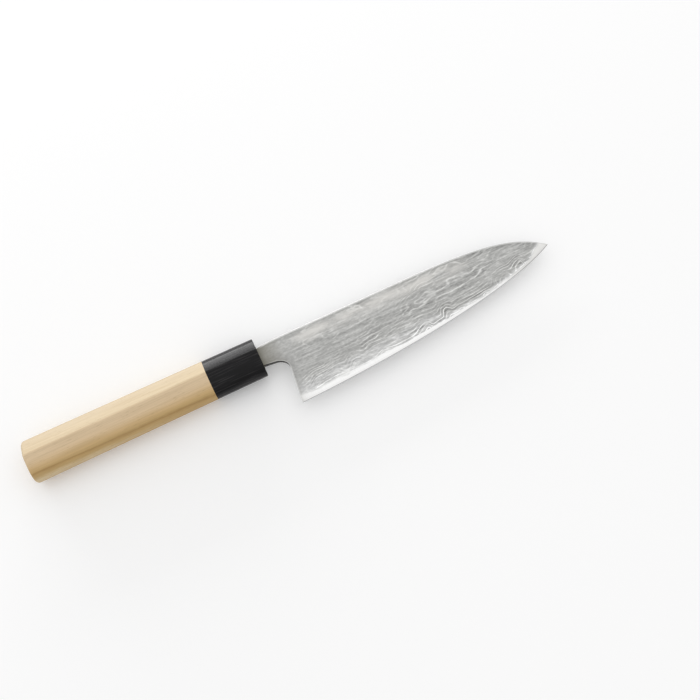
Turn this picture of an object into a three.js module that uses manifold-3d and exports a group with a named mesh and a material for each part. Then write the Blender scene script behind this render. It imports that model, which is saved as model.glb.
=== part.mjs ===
// Gyuto: a Japanese chef's knife with a laminated blade, a hidden tang and a D-section wooden handle.
//
// Working frame, in millimetres: +X to the point, +Y to the spine, +Z out of the right face, with the
// origin on the handle's axis where the blade leaves the ferrule. The finished group lies on its left
// side, right face up, and is shifted so that its box stands centred on Z = 0.

import * as THREE from 'three';
import { mergeVertices, toCreasedNormals } from 'three/addons/utils/BufferGeometryUtils.js';
import Module from 'manifold-3d';

// Blade outline
const TIP = new THREE.Vector2(187, -10.9);
const HEEL = new THREE.Vector2(11.5, -36.2);
const CHOIL_END = new THREE.Vector2(13.8, -13);
const SPINE_HEIGHT = 6.65;
const SPINE_STRAIGHT_TO = 95;
const SPINE_PULL = [new THREE.Vector2(154.9, SPINE_HEIGHT), new THREE.Vector2(171, 1.8)];
const EDGE_PULL = [new THREE.Vector2(45, -35.6), new THREE.Vector2(146.5, -30.7)];

// Neck and tang: the neck enters the ferrule at full height and steps down to the tang inside it
const NECK_TOP = 5.55;
const NECK_BOTTOM = -6.3;
const NECK_HALF = 1.5;
const NECK_CREST = 5;
const CHOIL_START = new THREE.Vector2(6.5, -7);
const CHOIL_PULL = [new THREE.Vector2(10.8, -7.5), new THREE.Vector2(13.7, -9.8)];
const MACHI_DEPTH = 4;
const MACHI_SLOPE = 0.3;
const TANG_REACH = 85;
const TANG_ROOT_HEIGHT = 8.6;
const TANG_END_HEIGHT = 5;
const TANG_END_HALF = 1.1;

// Grind: half thicknesses of the wedge, from the spine to the edge bevel
const SPINE_HALF_HEEL = 1.3;
const SPINE_HALF_TIP = 0.3;
const BEVEL_HALF = 0.16;
const BEVEL_HEIGHT = 1.4;
const BEVEL_SHARE_MOST = 1 / 3;
const GRIND_POWER = 1.5;
const SPINE_ROUND = 0.4;

// Core steel laid bare along the edge, up to a wavy forge-weld line, and over the whole point. The bare
// band narrows along the blade. Each swell is a share of its height, and repeats so many times.
const BARE_AT_HEEL = 4.2;
const BARE_AT_POINT = 1.4;
const SWELLS = [
  { share: 0.14, repeats: 1.3, start: -0.06 },
  { share: 0.1, repeats: 6.3, start: 1.6 },
  { share: 0.06, repeats: 14.2, start: 0.5 },
];
const LEFT_SHIFT = 1.9;
const POINT_FROM = 0.885;
const POINT_AT = 0.967;
const POINT_SWEEP = 3;

// Handle: an oval whose right side is drawn out to one ridge, so that the section is a D
const FERRULE_LENGTH = 32.5;
const HANDLE_REACH = 147;
const FRONT_HALF = { height: 12.3, thick: 8.6 };
const JOINT_HALF = { height: 12.5, thick: 8.7 };
const BUTT_HALF = { height: 13.3, thick: 9.2 };
const FACET_TO_SPINE = THREE.MathUtils.degToRad(29);
const FACET_TO_EDGE = THREE.MathUtils.degToRad(12.5);
const BUTT_ROUND = 2.2;
const FERRULE_ROUND = 0.6;

// Joinery inside the handle
const TENON_RADIUS = 6.6;
const TENON_LENGTH = 18;
const GLUE_GAP = 0.3;
const SEAL_WALL = 0.7;
const SEAL_PROUD = 0.2;

// Mesh density, the distance within which points are one, and how far a cut runs past what it cuts
const BLADE_STEPS = 84;
const POINT_STEPS = 4;
const NECK_STEPS = 4;
const CHOIL_STEPS = 8;
const CLADDING_ROWS_BELOW = 4;
const CLADDING_ROWS_ABOVE = 3;
const OVAL_STEPS = 48;
const ROUND_STEPS = 4;
const TENON_SIDES = 32;
const WELD = 1e-3;
const OVERSHOOT = 1;

const COLOURS = {
  core: { color: 0xdcdcda, roughness: 0.22, metalness: 1 },
  cladding: { color: 0xaeaeaa, roughness: 0.42, metalness: 0.95 },
  ferrule: { color: 0x1e1c1d, roughness: 0.35, metalness: 0 },
  wood: { color: 0xd8c29c, roughness: 0.6, metalness: 0 },
  resin: { color: 0x77725a, roughness: 0.45, metalness: 0 },
};

const { lerp, clamp, smoothstep } = THREE.MathUtils;
const RIGHT = 0;
const LEFT = 1;
const SIDES = [RIGHT, LEFT];
const outward = (side) => (side === RIGHT ? 1 : -1);
const wasm = await Module();
wasm.setup();

// Meshing helpers

// Skins equal-length rings of points into a closed body. The rings follow each other towards +X, and
// each climbs on its +Z side and comes down on its -Z side, or the other way round when reversed.
// Points that fall together are welded and the triangles that lose a corner are dropped, so a ring
// may shrink to a line or a point.
function loft(rings, reversed = false) {
  const count = rings[0].length;
  const positions = rings.flat().flatMap((point) => point.toArray());
  const triangles = [];
  const add = (a, b, c) => triangles.push(reversed ? [a, b, c] : [a, c, b]);
  for (let i = 0; i < rings.length - 1; i += 1) {
    for (let j = 0; j < count; j += 1) {
      const here = i * count + j;
      const next = i * count + ((j + 1) % count);
      add(here, next, next + count);
      add(here, next + count, here + count);
    }
  }
  const last = (rings.length - 1) * count;
  for (let j = 1; j < count - 1; j += 1) {
    add(0, j + 1, j);
    add(last, last + j, last + j + 1);
  }
  const raw = new THREE.BufferGeometry();
  raw.setAttribute('position', new THREE.Float32BufferAttribute(positions, 3));
  raw.setIndex(triangles.flat());
  const welded = mergeVertices(raw, WELD);
  const kept = [];
  const index = welded.getIndex().array;
  for (let k = 0; k < index.length; k += 3) {
    const corners = [...index.slice(k, k + 3)];
    if (new Set(corners).size === 3) kept.push(...corners);
  }
  welded.setIndex(kept);
  return welded;
}

function toSolid(geometry) {
  const bare = geometry.clone();
  bare.deleteAttribute('normal');
  bare.deleteAttribute('uv');
  const welded = mergeVertices(bare, WELD);
  return new wasm.Manifold(new wasm.Mesh({
    numProp: 3,
    vertProperties: welded.getAttribute('position').array,
    triVerts: Uint32Array.from(welded.getIndex().array),
  }));
}

function toGeometry(solid) {
  const mesh = solid.getMesh();
  const geometry = new THREE.BufferGeometry();
  geometry.setAttribute('position', new THREE.BufferAttribute(mesh.vertProperties, 3));
  geometry.setIndex(new THREE.BufferAttribute(mesh.triVerts, 1));
  return geometry;
}

function block(low, high) {
  const box = new THREE.Box3(low, high);
  const size = box.getSize(new THREE.Vector3());
  const centre = box.getCenter(new THREE.Vector3());
  return new THREE.BoxGeometry(...size.toArray()).translate(...centre.toArray());
}

function rodAlongX(radius, fromX, toX) {
  const rod = new THREE.CylinderGeometry(radius, radius, toX - fromX, TENON_SIDES);
  return rod.rotateZ(-Math.PI / 2).translate((fromX + toX) / 2, 0, 0);
}

// Blade: a fan of columns, each running from the edge up to the spine

const edge = new THREE.CubicBezierCurve(HEEL, ...EDGE_PULL, TIP);
const choilShare = (CHOIL_END.y - HEEL.y) / (SPINE_HEIGHT - HEEL.y);
const heelTop = HEEL.clone().lerp(CHOIL_END, 1 / choilShare);
const spine = new THREE.Path();
spine.moveTo(heelTop.x, heelTop.y);
spine.lineTo(SPINE_STRAIGHT_TO, SPINE_HEIGHT);
spine.bezierCurveTo(...SPINE_PULL[0].toArray(), ...SPINE_PULL[1].toArray(), TIP.x, TIP.y);

const grindHalf = (share, along) => {
  const atSpine = lerp(SPINE_HALF_HEEL, SPINE_HALF_TIP, along);
  return BEVEL_HALF + (atSpine - BEVEL_HALF) * (1 - (1 - share) ** GRIND_POWER);
};

// Share of the blade's height, at one station, over which the core lies bare
function bareShare(along, height, side) {
  if (along >= POINT_AT) return 1;
  const wave = SWELLS.reduce((sum, { share, repeats, start }) => {
    const angle = 2 * Math.PI * repeats * along + start + side * LEFT_SHIFT;
    return sum + share * Math.sin(angle);
  }, 1);
  const band = lerp(BARE_AT_HEEL, BARE_AT_POINT, along) * wave / height;
  const towardsPoint = clamp((along - POINT_FROM) / (POINT_AT - POINT_FROM), 0, 1);
  return band + (1 - band) * towardsPoint ** POINT_SWEEP;
}

// Rows of the cladding as shares of its own height. The row at choilRow meets the end of the choil.
const heelBare = SIDES.map((side) => bareShare(0, heelTop.distanceTo(HEEL), side));

function claddingRows(side) {
  const choilRow = (choilShare - heelBare[side]) / (1 - heelBare[side]);
  const below = Array.from({ length: CLADDING_ROWS_BELOW }, (_, k) => choilRow * k / CLADDING_ROWS_BELOW);
  const above = Array.from(
    { length: CLADDING_ROWS_ABOVE + 1 },
    (_, k) => lerp(choilRow, 1, k / CLADDING_ROWS_ABOVE),
  );
  return { choilRow, rows: [...below, ...above] };
}
const ROWS = SIDES.map(claddingRows);

// One column of the bladed part: where a share of its height lies, and how thick it is there
function bladeColumn(along) {
  const foot = edge.getPointAt(along);
  const head = spine.getPoint(along);
  const height = head.distanceTo(foot);
  const bare = SIDES.map((side) => bareShare(along, Math.max(height, BARE_AT_HEEL), side));
  const bevel = Math.min(BEVEL_HEIGHT / Math.max(height, BEVEL_HEIGHT), BEVEL_SHARE_MOST);
  const half = (share) => (along < 1 ? grindHalf(share, along) : 0);
  return {
    place: (share) => foot.clone().lerp(head, share),
    half,
    rowShare: (row, side) => lerp(bare[side], 1, row),
    coreHalf: (side) => half(bare[side]),
    bareShares: (side) => {
      const low = Math.min(bevel, bare[side] / 2);
      return [low, (low + bare[side]) / 2];
    },
    bladed: true,
  };
}

// One column of the neck or tang: a flat bar from its foot to its head, with no edge below it. The
// neck thins into the blade's own grind as it comes up to the line of the heel.
function barColumn(foot, head, half) {
  const place = (share) => foot.clone().lerp(head, share);
  const halfAt = (share) => {
    const point = place(share);
    const rise = (point.y - HEEL.y) / (heelTop.y - HEEL.y);
    const blend = smoothstep(point.x, SEAL_PROUD, lerp(HEEL.x, heelTop.x, rise));
    return lerp(half, grindHalf(rise, 0), blend);
  };
  const rowShare = (row, side) => {
    const onHeel = lerp(heelBare[side], 1, row);
    return clamp((onHeel - choilShare) / (1 - choilShare), 0, 1);
  };
  return {
    place,
    half: halfAt,
    rowShare,
    coreHalf: (side) => grindHalf(heelBare[side], 0),
    bareShares: () => [0, 0],
    bladed: false,
  };
}

function barAt(x, bottom, top, half) {
  return barColumn(new THREE.Vector2(x, bottom), new THREE.Vector2(x, top), half);
}

// Neck columns swing from square to the handle round to the line of the heel
function neckColumns() {
  const under = new THREE.Path();
  under.moveTo(SEAL_PROUD, NECK_BOTTOM);
  under.lineTo(CHOIL_START.x, CHOIL_START.y);
  const arch = new THREE.CubicBezierCurve(CHOIL_START, ...CHOIL_PULL, CHOIL_END);
  const feet = [...under.getPoints(NECK_STEPS), ...arch.getPoints(CHOIL_STEPS).slice(1)];
  const over = new THREE.QuadraticBezierCurve(
    new THREE.Vector2(SEAL_PROUD, NECK_TOP),
    new THREE.Vector2(NECK_CREST, SPINE_HEIGHT),
    heelTop,
  );
  return feet.slice(1).map(
    (foot, k) => barColumn(foot, over.getPoint((k + 1) / (feet.length - 1)), NECK_HALF),
  );
}

const tangMiddle = (NECK_TOP + NECK_BOTTOM) / 2;
const barColumns = [
  barAt(-TANG_REACH, tangMiddle - TANG_END_HEIGHT / 2, tangMiddle + TANG_END_HEIGHT / 2, TANG_END_HALF),
  barAt(-MACHI_DEPTH, tangMiddle - TANG_ROOT_HEIGHT / 2, tangMiddle + TANG_ROOT_HEIGHT / 2, NECK_HALF),
  barAt(MACHI_SLOPE - MACHI_DEPTH, NECK_BOTTOM, NECK_TOP, NECK_HALF),
  barAt(SEAL_PROUD, NECK_BOTTOM, NECK_TOP, NECK_HALF),
  ...neckColumns(),
];
const cladStations = Array.from({ length: BLADE_STEPS + 1 }, (_, k) => POINT_AT * k / BLADE_STEPS);
const pointStations = Array.from(
  { length: POINT_STEPS },
  (_, k) => lerp(POINT_AT, 1, (k + 1) / POINT_STEPS),
);
const cladColumns = [...barColumns, ...cladStations.map(bladeColumn)];
const coreColumns = [...cladColumns, ...pointStations.map(bladeColumn)];

const inSpace = (flat, z) => new THREE.Vector3(flat.x, flat.y, z);

// Core ring: up the right side from the edge, over the spine and down the left side
function coreRing(column) {
  const flank = (side) => {
    const z = outward(side);
    const bare = column.bareShares(side).map((share) => {
      const half = column.bladed ? column.half(share) : column.coreHalf(side);
      return inSpace(column.place(share), z * half);
    });
    const rows = [0, ROWS[side].choilRow, 1].map(
      (row) => inSpace(column.place(column.rowShare(row, side)), z * column.coreHalf(side)),
    );
    return [...bare, ...rows];
  };
  return [inSpace(column.place(0), 0), ...flank(RIGHT), ...flank(LEFT).reverse()];
}

// Cladding ring: up the weld from its lower line to the spine, over the rounded corner and down the
// face. The left one runs the other way, so that both share the core's own facets along the weld.
function claddingRing(column, side) {
  const z = outward(side);
  const { choilRow, rows } = ROWS[side];
  const at = (row) => column.place(column.rowShare(row, side));
  const weld = [0, choilRow, 1].map((row) => inSpace(at(row), z * column.coreHalf(side)));
  const topHalf = column.half(1);
  const round = Math.min(SPINE_ROUND, (topHalf - column.coreHalf(side)) / 2);
  const drop = new THREE.Vector2(0, -round);
  const face = rows.map((row) => inSpace(at(row), z * column.half(column.rowShare(row, side))));
  face[face.length - 1] = inSpace(at(1).add(drop), z * topHalf);
  const ring = [...weld, inSpace(at(1), z * (topHalf - round)), ...face.reverse()];
  return side === RIGHT ? ring : ring.reverse();
}

const coreGeometry = loft(coreColumns.map(coreRing));
const claddingGeometry = SIDES.map(
  (side) => loft(cladColumns.map((column) => claddingRing(column, side)), true),
);

// Handle and ferrule: one tapering D-section, cut at the joint

// D-section across the handle: an oval, with two flats drawn tangent to it that meet in the ridge
function dSection(x, { height, thick }, inset = 0) {
  const a = height - inset;
  const b = thick - inset;
  const tangent = (angle) => {
    const normal = new THREE.Vector2(Math.sin(angle), Math.cos(angle));
    const reach = Math.hypot(a * normal.x, b * normal.y);
    return { normal, reach, turn: Math.atan2(b * normal.y, a * normal.x) };
  };
  const up = tangent(FACET_TO_SPINE);
  const down = tangent(-FACET_TO_EDGE);
  const cross = up.normal.cross(down.normal);
  const ridge = new THREE.Vector2(
    (up.reach * down.normal.y - down.reach * up.normal.y) / cross,
    (up.normal.x * down.reach - down.normal.x * up.reach) / cross,
  );
  const oval = new THREE.EllipseCurve(0, 0, a, b, up.turn, down.turn, true);
  return [ridge, ...oval.getPoints(OVAL_STEPS)].map((point) => new THREE.Vector3(x, point.x, point.y));
}

// Sections that carry a rounded rim from full size to the end face
function rimSections(x, half, round, facing) {
  return Array.from({ length: ROUND_STEPS + 1 }, (_, k) => {
    const angle = (Math.PI / 2) * k / ROUND_STEPS;
    return dSection(x - facing * round * (1 - Math.sin(angle)), half, round * (1 - Math.cos(angle)));
  });
}

function tangHole(fromX, toX) {
  const section = (x) => {
    const back = (-MACHI_DEPTH - x) / (TANG_REACH - MACHI_DEPTH);
    const height = lerp(TANG_ROOT_HEIGHT, TANG_END_HEIGHT, back) / 2 + GLUE_GAP;
    const half = lerp(NECK_HALF, TANG_END_HALF, back) + GLUE_GAP;
    return [[-1, 1], [1, 1], [1, -1], [-1, -1]].map(
      ([y, z]) => new THREE.Vector3(x, tangMiddle + y * height, z * half),
    );
  };
  return loft([section(fromX), section(toX)]);
}

function mouthBlock(wall, toX) {
  return block(
    new THREE.Vector3(-MACHI_DEPTH, NECK_BOTTOM - wall, -NECK_HALF - wall),
    new THREE.Vector3(toX, NECK_TOP + wall, NECK_HALF + wall),
  );
}

const tenonFront = TENON_LENGTH - FERRULE_LENGTH;

function ferruleGeometry() {
  const outside = loft([
    dSection(-FERRULE_LENGTH, JOINT_HALF),
    ...rimSections(0, FRONT_HALF, FERRULE_ROUND, 1),
  ]);
  const socket = rodAlongX(TENON_RADIUS + GLUE_GAP, -FERRULE_LENGTH - OVERSHOOT, tenonFront + GLUE_GAP);
  return toGeometry(
    toSolid(outside)
      .subtract(toSolid(socket))
      .subtract(toSolid(tangHole(tenonFront - OVERSHOOT, OVERSHOOT - MACHI_DEPTH)))
      .subtract(toSolid(mouthBlock(SEAL_WALL, OVERSHOOT))),
  );
}

function handleGeometry() {
  const outside = loft([
    ...rimSections(-HANDLE_REACH, BUTT_HALF, BUTT_ROUND, -1).reverse(),
    dSection(-FERRULE_LENGTH, JOINT_HALF),
  ]);
  const tenon = rodAlongX(TENON_RADIUS, -FERRULE_LENGTH - TENON_LENGTH, tenonFront);
  return toGeometry(
    toSolid(outside)
      .add(toSolid(tenon))
      .subtract(toSolid(tangHole(-TANG_REACH - GLUE_GAP, tenonFront + OVERSHOOT))),
  );
}

function sealGeometry() {
  return toGeometry(
    toSolid(mouthBlock(SEAL_WALL, SEAL_PROUD)).subtract(toSolid(mouthBlock(0, SEAL_PROUD + OVERSHOOT))),
  );
}

// Assembly

const CREASE = THREE.MathUtils.degToRad(25);

function piece(name, geometry, finish) {
  const mesh = new THREE.Mesh(
    toCreasedNormals(geometry, CREASE),
    new THREE.MeshStandardMaterial({ ...finish, name }),
  );
  mesh.name = name;
  return mesh;
}

const knife = new THREE.Group();
knife.name = 'gyuto';
knife.add(
  piece('core_steel', coreGeometry, COLOURS.core),
  piece('cladding_right', claddingGeometry[RIGHT], COLOURS.cladding),
  piece('cladding_left', claddingGeometry[LEFT], COLOURS.cladding),
  piece('ferrule', ferruleGeometry(), COLOURS.ferrule),
  piece('handle', handleGeometry(), COLOURS.wood),
  piece('tang_seal', sealGeometry(), COLOURS.resin),
);
knife.position.set(
  (HANDLE_REACH - TIP.x) / 2,
  -(BUTT_HALF.height + HEEL.y) / 2,
  BUTT_HALF.thick,
);

export default knife;
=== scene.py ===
# %% [markdown]
# # Dressing a gyuto
# A gyuto is a Japanese chef's knife. This one has a blade of three layers, a hard core between two
# sheets of pattern-welded cladding, a black horn ferrule and a bare wooden handle whose section is a
# D. The solids come in as a fixed frame. This lesson rebuilds each visible piece on top of them at a
# finer grain, gives every piece the finish of the real material, and sets up a plain studio round it.

# %% Load the frame
import math

import bmesh
import bpy
from mathutils import Matrix, Vector
from mathutils.kdtree import KDTree


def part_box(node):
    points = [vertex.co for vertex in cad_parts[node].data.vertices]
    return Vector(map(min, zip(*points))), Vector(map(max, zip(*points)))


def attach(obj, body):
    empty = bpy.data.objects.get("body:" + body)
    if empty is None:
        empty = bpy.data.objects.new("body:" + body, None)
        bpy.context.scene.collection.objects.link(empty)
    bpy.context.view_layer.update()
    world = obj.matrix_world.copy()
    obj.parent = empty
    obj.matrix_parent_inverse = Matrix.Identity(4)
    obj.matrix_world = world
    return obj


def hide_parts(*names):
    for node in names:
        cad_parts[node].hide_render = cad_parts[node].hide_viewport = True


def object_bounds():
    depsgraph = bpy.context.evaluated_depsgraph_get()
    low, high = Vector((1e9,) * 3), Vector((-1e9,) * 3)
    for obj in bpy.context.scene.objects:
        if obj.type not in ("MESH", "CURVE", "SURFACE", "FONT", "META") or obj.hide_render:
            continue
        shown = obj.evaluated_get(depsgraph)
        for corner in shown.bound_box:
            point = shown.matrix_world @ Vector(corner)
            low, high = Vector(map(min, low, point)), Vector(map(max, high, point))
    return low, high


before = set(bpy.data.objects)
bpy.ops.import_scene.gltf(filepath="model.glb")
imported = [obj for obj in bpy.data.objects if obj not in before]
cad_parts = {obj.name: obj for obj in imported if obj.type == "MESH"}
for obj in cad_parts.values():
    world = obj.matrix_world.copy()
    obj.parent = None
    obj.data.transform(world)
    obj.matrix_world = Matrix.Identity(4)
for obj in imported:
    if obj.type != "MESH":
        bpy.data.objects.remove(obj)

MM = 0.001
CAD_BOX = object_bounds()
print("frame:", sorted(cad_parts))
print("box in mm:", [[round(v / MM, 2) for v in corner] for corner in CAD_BOX])

# %% [markdown]
# ## The camera
# The photograph looks down on the right side of the blade from a little below the edge, with the knife
# running up to the right. A camera is easiest to place with three things: where it stands,
# what it is aimed at, and how far it is rolled about its own line of sight.

# %% Camera
CAMERA_PLACE = Vector((-20.66, -162.6, 556.7)) * MM
CAMERA_AIM = Vector((30.05, -7.72, 9.2)) * MM
CAMERA_ROLL = math.radians(-7.356)
CAMERA_LENS = 49.515
SENSOR_WIDTH = 36

line_of_sight = CAMERA_AIM - CAMERA_PLACE
camera_data = bpy.data.cameras.new("camera")
camera_data.lens = CAMERA_LENS
camera_data.sensor_width = SENSOR_WIDTH
camera = bpy.data.objects.new("camera", camera_data)
turn = line_of_sight.to_track_quat("-Z", "Y").to_matrix().to_4x4()
camera.matrix_world = Matrix.Translation(CAMERA_PLACE) @ turn @ Matrix.Rotation(CAMERA_ROLL, 4, "Z")
bpy.context.scene.collection.objects.link(camera)
bpy.context.scene.camera = camera
print("camera stands", round(line_of_sight.length / MM), "mm from the blade")

# %% [markdown]
# ## Working by hand, in code
# Every operator acts on what is selected, so each step starts from an empty selection. One helper
# makes a piece the only selected one, and one picks vertices, edges or faces in edit mode by a test.
# Another settles a shape that was just added, and one counts what is left open on a finished piece.

# %% Helpers for selecting
def take(piece):
    """Makes one piece selected and active, in object mode."""
    if bpy.context.mode != "OBJECT":
        bpy.ops.object.mode_set(mode="OBJECT")
    bpy.ops.object.select_all(action="DESELECT")
    piece.select_set(True)
    bpy.context.view_layer.objects.active = piece


def edit(piece):
    """Takes one piece into edit mode."""
    take(piece)
    bpy.ops.object.mode_set(mode="EDIT")


def pick(kind, test):
    """Selects the vertices, edges or faces in edit mode that pass a test, and nothing else."""
    bpy.ops.mesh.select_mode(type=kind)
    bpy.ops.mesh.select_all(action="DESELECT")
    shape = bmesh.from_edit_mesh(bpy.context.edit_object.data)
    for item in {"VERT": shape.verts, "EDGE": shape.edges, "FACE": shape.faces}[kind]:
        if test(item):
            item.select_set(True)
    shape.select_flush_mode()
    bmesh.update_edit_mesh(bpy.context.edit_object.data)


print("mode after loading:", bpy.context.mode)

# %% Helpers for making
def settle(name, scale=(1, 1, 1)):
    """Names what was just added, scales it, and applies its transform to its mesh."""
    piece = bpy.context.active_object
    piece.name = piece.data.name = name
    piece.scale = scale
    take(piece)
    bpy.ops.object.transform_apply(location=True, rotation=True, scale=True)
    return piece


def report(piece):
    """Prints how fine a piece is, and how many edges don't have two faces: none on a closed piece."""
    shape = bmesh.new()
    shape.from_mesh(piece.data)
    triangles = sum(len(face.verts) - 2 for face in shape.faces)
    gaps = sum(len(edge.link_faces) != 2 for edge in shape.edges)
    shape.free()
    print(piece.name, "has", triangles, "triangles and", gaps, "open edges")


print("solids to rebuild:", len(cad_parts))

# %% [markdown]
# ## The D-section
# A D handle is an oval with one ridge, drawn out on the side where the fingers close. Two flats run
# from the oval to the ridge, each tangent to it. By hand that is a circle scaled to an oval, whose
# vertices between the two tangent points are merged into one and pulled out to where the flats meet. A
# small bevel on that vertex eases the ridge as sandpaper does. The ring is then filled, so that it can
# be extruded along the handle.

# %% Measure the handle
FRONT_HALF = Vector((0, 12.3, 8.6)) * MM
JOINT_HALF = Vector((0, 12.5, 8.7)) * MM
BUTT_HALF = Vector((0, 13.3, 9.2)) * MM

handle_low, handle_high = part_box("handle")
ferrule_low, ferrule_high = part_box("ferrule")
AXIS = Vector((0, handle_high.y - BUTT_HALF.y, handle_low.z + BUTT_HALF.z))
BUTT_X = handle_low.x
JOINT_X = ferrule_low.x
FRONT_X = ferrule_high.x
print("axis of the handle at y", round(AXIS.y / MM, 2), "and z", round(AXIS.z / MM, 2), "mm")

# %% Draw the D-section
OVAL_SIDES = 160
FACET_TO_SPINE = math.radians(29)
FACET_TO_EDGE = math.radians(12.5)
RIDGE_EASING = 0.7 * MM
RIDGE_SEGMENTS = 6
SAME_PLACE = MM / 1000


def tangent(half, tilt):
    """Where a flat of that tilt touches the oval, as an angle round it, with its normal and reach."""
    normal = Vector((math.sin(tilt), math.cos(tilt)))
    reach = math.hypot(half.y * normal.x, half.z * normal.y)
    return math.atan2(half.z * normal.y, half.y * normal.x), normal, reach


def d_section(name, x, half):
    """A filled D-shaped face across the handle's axis at x, with half that height and thickness."""
    bpy.ops.mesh.primitive_circle_add(
        vertices=OVAL_SIDES, radius=1, location=(x, AXIS.y, AXIS.z), rotation=(0, math.pi / 2, 0)
    )
    piece = settle(name, (half.z, half.y, 1))
    to_spine, up, up_reach = tangent(half, FACET_TO_SPINE)
    to_edge, down, down_reach = tangent(half, -FACET_TO_EDGE)
    cross = up.x * down.y - up.y * down.x
    ridge = Vector((
        x,
        AXIS.y + (up_reach * down.y - down_reach * up.y) / cross,
        AXIS.z + (up.x * down_reach - down.x * up_reach) / cross,
    ))

    def between_flats(vertex):
        angle = math.atan2((vertex.co.z - AXIS.z) / half.z, (vertex.co.y - AXIS.y) / half.y)
        return to_spine < angle < to_edge

    edit(piece)
    pick("VERT", between_flats)
    bpy.ops.mesh.merge(type="COLLAPSE")
    shape = bmesh.from_edit_mesh(piece.data)
    merged = next(vertex for vertex in shape.verts if vertex.select)
    bpy.ops.transform.translate(value=ridge - merged.co)
    bpy.ops.mesh.select_all(action="SELECT")
    bpy.ops.mesh.edge_face_add()
    pick("VERT", lambda vertex: (vertex.co - ridge).length < SAME_PLACE)
    bpy.ops.mesh.bevel(offset=RIDGE_EASING, segments=RIDGE_SEGMENTS, affect="VERTICES")
    pick("FACE", lambda face: True)
    return piece


print("ridge eased by", round(RIDGE_EASING / MM, 2), "mm in", RIDGE_SEGMENTS, "steps")

# %% [markdown]
# ## Along the handle
# From that face the handle grows by extruding it a step at a time. Each step is scaled about the axis,
# so the section swells or narrows on its way, and a rounded end is a quarter turn of small steps. A
# loft between drawn sections would do as well, but extruding keeps one closed mesh from end to end.

# %% Extrude along the axis
def extrude_to(x, start, end):
    """Extrudes the selected end face to x, and scales it about the axis from one half size to another."""
    shape = bmesh.from_edit_mesh(bpy.context.edit_object.data)
    here = next(vertex.co.x for vertex in shape.verts if vertex.select)
    bpy.ops.mesh.extrude_region_move(TRANSFORM_OT_translate={"value": (x - here, 0, 0)})
    bpy.ops.transform.resize(
        value=(1, end.y / start.y, end.z / start.z), center_override=(x, AXIS.y, AXIS.z)
    )


def extrude_along(start_x, end_x, start, end, steps):
    """Goes from one place and half size to another in even steps."""
    for step in range(1, steps + 1):
        x = start_x + (end_x - start_x) * (step / steps)
        extrude_to(x, start.lerp(end, (step - 1) / steps), start.lerp(end, step / steps))


def rounded_end(x, half, radius, segments, facing):
    """Goes on to x in a quarter round: each step moves on a little and draws in a little."""
    inset = Vector((0, 1, 1)) * radius
    now = half
    for step in range(1, segments + 1):
        angle = (math.pi / 2) * step / segments
        smaller = half - inset * (1 - math.cos(angle))
        extrude_to(x - facing * radius * (1 - math.sin(angle)), now, smaller)
        now = smaller


def close_up(piece):
    """Merges what lies together, turns every face outwards, and leaves edit mode."""
    bpy.ops.mesh.select_all(action="SELECT")
    bpy.ops.mesh.remove_doubles(threshold=SAME_PLACE)
    bpy.ops.mesh.normals_make_consistent(inside=False)
    take(piece)


print("from the ferrule to the butt:", round((JOINT_X - BUTT_X) / MM, 1), "mm")

# %% [markdown]
# ## The wooden handle
# The handle is one stick of pale magnolia. It swells a little from the ferrule to the butt, and its
# end is rounded over. A tenon turned on its front goes into the ferrule, and the tang is burnt into a
# hole down the middle. The outside is a chain of extrusions from the D-section. The tenon and the hole
# are made with Boolean modifiers from a cylinder and a tapered bar, as by a lathe and a drill.

# %% Tools for drilling and filing
TENON_SIDES = 64


def bar(name, low, high):
    """A box from one corner to the other."""
    bpy.ops.mesh.primitive_cube_add(size=1, location=(low + high) / 2)
    return settle(name, high - low)


def rod(name, radius, start_x, end_x):
    """A round bar along the handle's axis."""
    bpy.ops.mesh.primitive_cylinder_add(
        vertices=TENON_SIDES,
        radius=radius,
        depth=end_x - start_x,
        location=((start_x + end_x) / 2, AXIS.y, AXIS.z),
        rotation=(0, math.pi / 2, 0),
    )
    return settle(name)


def combine(piece, tool, operation):
    """Adds a tool's shape to a piece or cuts it out, and puts the tool away."""
    take(piece)
    modifier = piece.modifiers.new("boolean", "BOOLEAN")
    modifier.operation = operation
    modifier.object = tool
    modifier.solver = "EXACT"
    bpy.ops.object.modifier_apply(modifier=modifier.name)
    bpy.data.objects.remove(tool)


print("rods have", TENON_SIDES, "sides")

# %% The hole for the tang
GLUE_GAP = 0.3 * MM
TANG_ROOT_HALF = Vector((0, 4.3, 1.5)) * MM
TANG_END_HALF = Vector((0, 2.5, 1.1)) * MM

seal_low, seal_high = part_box("tang_seal")
TANG_END_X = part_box("core_steel")[0].x
TANG_ROOT_X = seal_low.x
TANG_Y = (seal_low.y + seal_high.y) / 2


def tang_bar(start_x, end_x):
    """The hole between two places: a bar that tapers as the tang does, with room for glue."""
    gap = Vector((0, GLUE_GAP, GLUE_GAP))

    def half_at(x):
        share = (TANG_ROOT_X - x) / (TANG_ROOT_X - TANG_END_X)
        return TANG_ROOT_HALF.lerp(TANG_END_HALF, share) + gap

    start, end = half_at(start_x), half_at(end_x)
    low = Vector((start_x, TANG_Y, AXIS.z)) - start
    high = Vector((end_x, TANG_Y, AXIS.z)) + start
    made = bar("tang_bar", low, high)
    edit(made)
    pick("FACE", lambda face: face.normal.x > 0.5)
    bpy.ops.transform.resize(
        value=(1, end.y / start.y, end.z / start.z), center_override=(end_x, TANG_Y, AXIS.z)
    )
    take(made)
    return made


print("the tang is", round((TANG_ROOT_X - TANG_END_X) / MM, 1), "mm long")

# %% Model the handle
LENGTH_STEPS = 12
BUTT_ROUND = 2.2 * MM
BUTT_SEGMENTS = 8
TENON_RADIUS = 6.6 * MM
TENON_LENGTH = 18 * MM
TENON_END_X = JOINT_X + TENON_LENGTH
OVERSHOOT = 1 * MM
SMOOTH_UNDER = math.radians(25)

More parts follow.
